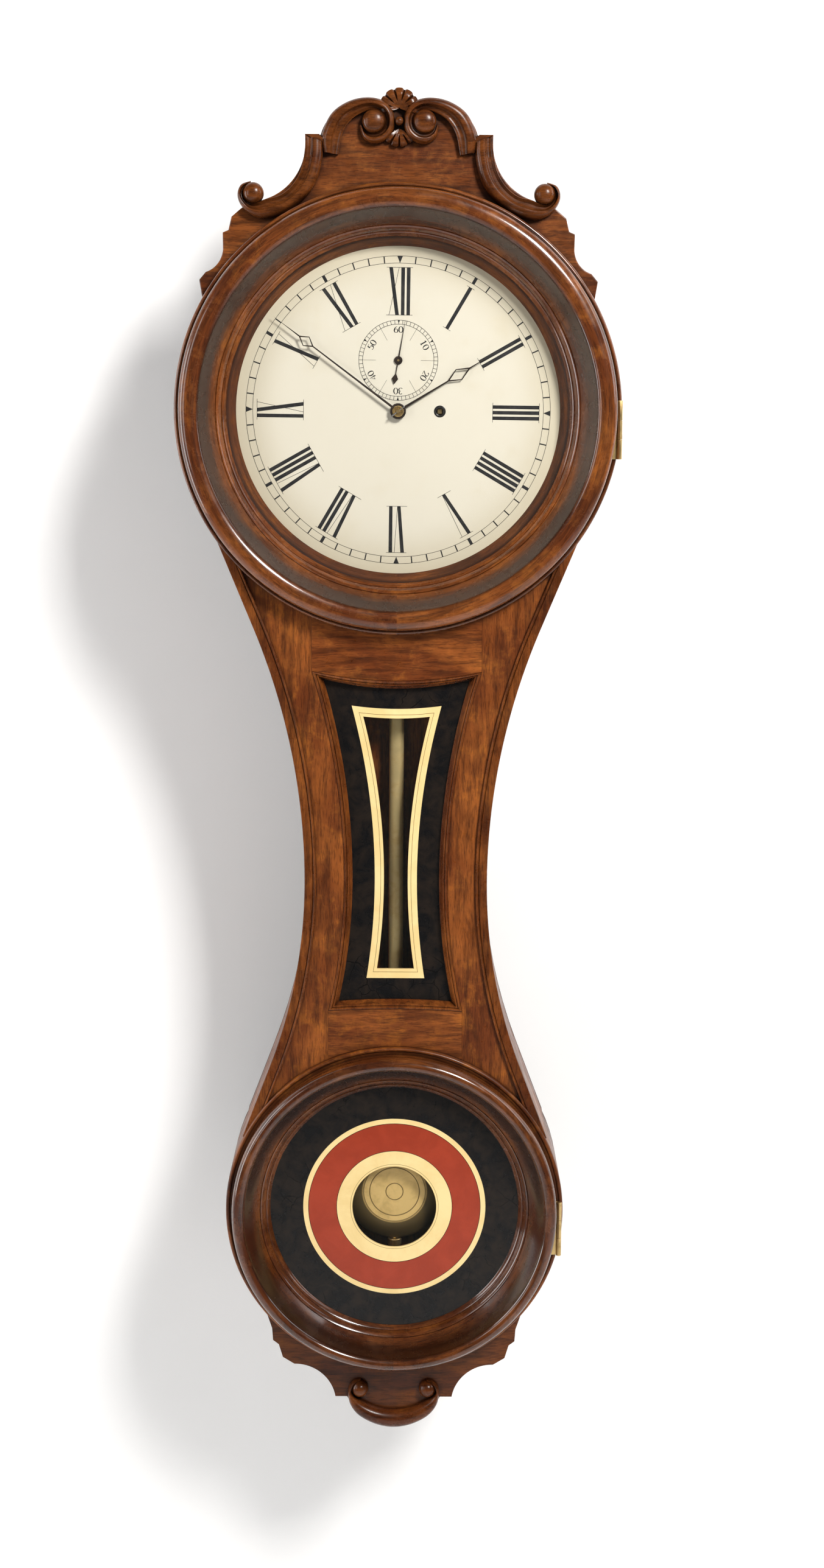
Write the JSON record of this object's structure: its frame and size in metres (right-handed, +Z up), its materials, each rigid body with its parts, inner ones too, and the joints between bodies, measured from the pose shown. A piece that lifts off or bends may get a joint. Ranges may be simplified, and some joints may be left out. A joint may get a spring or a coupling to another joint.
{
  "type": "figure eight wall clock",
  "caption": "Tall carved wooden wall clock in a figure eight case with a round dial, a waisted throat glass and a round pendulum door.",
  "frame": {"origin": "axis of the hour and minute hands where it meets the wall plane", "axes": "+X to the right seen from the front, +Y into the wall, +Z up"},
  "size_m": [0.4731, 0.1473, 1.4709],
  "materials": {
    "case_wood": "french polished mahogany, worn",
    "carved_wood": "dark polished mahogany",
    "door_wood": "french polished turned mahogany",
    "rod_wood": "gilded straight grained wood",
    "clear_glass": "clear",
    "painted_glass": "black back painted with bands",
    "dial_paint": "aged cream paint, satin",
    "hand_metal": "blued steel",
    "brass": "aged brass",
    "dark_eyelet": "black",
    "steel": "polished steel",
    "iron": "black painted iron",
    "gut": "twisted gut"
  },
  "bodies": {
    "case": {"back_plate": "brass", "backboard": "case_wood", "baffle_board": "case_wood", "base_board": "carved_wood", "base_crescent": "carved_wood", "bottom_rail": "case_wood", "case_hinge_leaves": "brass", "centre_scrolls": "carved_wood", "crest_board": "carved_wood", "crest_shell": "carved_wood", "dial_buttons": "brass", "dial_plate": "dial_paint", "front_plate": "brass", "hanger_plate": "steel", "lower_front_ring": "case_wood", "lower_hoop": "case_wood", "movement_brackets": "iron", "plate_pillars": "brass", "shoulder_scrolls": "carved_wood", "side_mouldings": "case_wood", "sight_ring": "case_wood", "suspension_bracket": "iron", "suspension_spring": "steel", "throat_beading": "case_wood", "throat_glass": "painted_glass", "throat_sides": "case_wood", "throat_stiles": "case_wood", "top_rail": "case_wood", "upper_front_ring": "case_wood", "upper_hoop": "case_wood", "weight_line": "gut", "winding_grommet": "dark_eyelet"},
    "upper_door": {"upper_bezel": "door_wood", "upper_glass": "clear_glass", "upper_glass_points": "brass", "upper_door_hinge_leaf": "brass"},
    "lower_door": {"lower_bezel": "door_wood", "lower_glass": "painted_glass", "lower_glass_points": "brass", "lower_door_hinge_leaf": "brass"},
    "escape_train": {"escape_wheel": "brass", "seconds_hand": "hand_metal"},
    "centre_train": {"centre_wheel": "brass", "cannon_pinion": "brass", "minute_hand": "hand_metal", "collet": "brass"},
    "hour_train": {"hour_wheel": "brass", "hour_hand": "hand_metal"},
    "minute_train": {"minute_wheel": "brass"},
    "third_train": {"third_wheel": "brass"},
    "great_train": {"great_wheel": "brass"},
    "drum": {"winding_drum": "brass"},
    "click_pawl": {"click": "steel"},
    "verge_crutch": {"verge": "steel"},
    "pendulum": {"keystone_loop": "steel", "pendulum_rod": "rod_wood", "bob": "brass", "rating_nut": "brass"},
    "driving_weight": {"weight": "iron"},
    "pulley": {"weight_pulley": "brass"}
  },
  "joints": [
    {"name": "upper_door_hinge", "type": "hinge", "parent": "case", "child": "upper_door", "pos_m": [0.2338, -0.1272, 0], "axis": [0, 0, 1], "range_deg": [0, 110]},
    {"name": "lower_door_hinge", "type": "hinge", "parent": "case", "child": "lower_door", "pos_m": [0.1827, -0.1272, -0.878], "axis": [0, 0, 1], "range_deg": [0, 110]},
    {"name": "seconds_arbor", "type": "hinge", "parent": "case", "child": "escape_train", "pos_m": [0, 0, 0.0536], "axis": [0, 1, 0], "continuous": true},
    {"name": "centre_arbor", "type": "hinge", "parent": "case", "child": "centre_train", "pos_m": [0, 0, 0], "axis": [0, 1, 0], "continuous": true},
    {"name": "hour_pipe", "type": "hinge", "parent": "case", "child": "hour_train", "pos_m": [0, 0, 0], "axis": [0, 1, 0], "continuous": true},
    {"name": "minute_stud", "type": "hinge", "parent": "case", "child": "minute_train", "pos_m": [-0.01273, 0, -0.01273], "axis": [0, 1, 0], "continuous": true},
    {"name": "third_arbor", "type": "hinge", "parent": "case", "child": "third_train", "pos_m": [-0.01654, 0, 0.02786], "axis": [0, 1, 0], "continuous": true},
    {"name": "great_arbor", "type": "hinge", "parent": "case", "child": "great_train", "pos_m": [0.0446, 0, 0], "axis": [0, 1, 0], "continuous": true},
    {"name": "winding_arbor", "type": "hinge", "parent": "great_train", "child": "drum", "pos_m": [0.0446, 0, 0], "axis": [0, 1, 0], "continuous": true},
    {"name": "click_pivot", "type": "hinge", "parent": "great_train", "child": "click_pawl", "pos_m": [0.0446, 0, 0.0175], "axis": [0, -1, 0], "range_deg": [0, 10]},
    {"name": "verge_arbor", "type": "hinge", "parent": "case", "child": "verge_crutch", "pos_m": [0, 0, 0.1086], "axis": [0, 1, 0], "range_deg": [-2, 2]},
    {"name": "pendulum_swing", "type": "hinge", "parent": "case", "child": "pendulum", "pos_m": [0, -0.0745, 0.1086], "axis": [0, 1, 0], "range_deg": [-2, 2]},
    {"name": "weight_travel", "type": "slide", "parent": "case", "child": "driving_weight", "axis": [0, 0, -1], "range_m": [-0.2, 0.5], "deforming": ["weight_line"]},
    {"name": "pulley_turn", "type": "hinge", "parent": "driving_weight", "child": "pulley", "pos_m": [0.0144, -0.035, -0.29], "axis": [0, 1, 0], "continuous": true}
  ],
  "couplings": [
    {"joint": "centre_arbor", "follows": "seconds_arbor", "ratio": 0.016667},
    {"joint": "hour_pipe", "follows": "seconds_arbor", "ratio": 0.0013889},
    {"joint": "minute_stud", "follows": "seconds_arbor", "ratio": -0.0055556},
    {"joint": "third_arbor", "follows": "seconds_arbor", "ratio": -0.13333},
    {"joint": "great_arbor", "follows": "seconds_arbor", "ratio": -0.0016667},
    {"joint": "verge_arbor", "follows": "pendulum_swing", "ratio": 1}
  ]
}
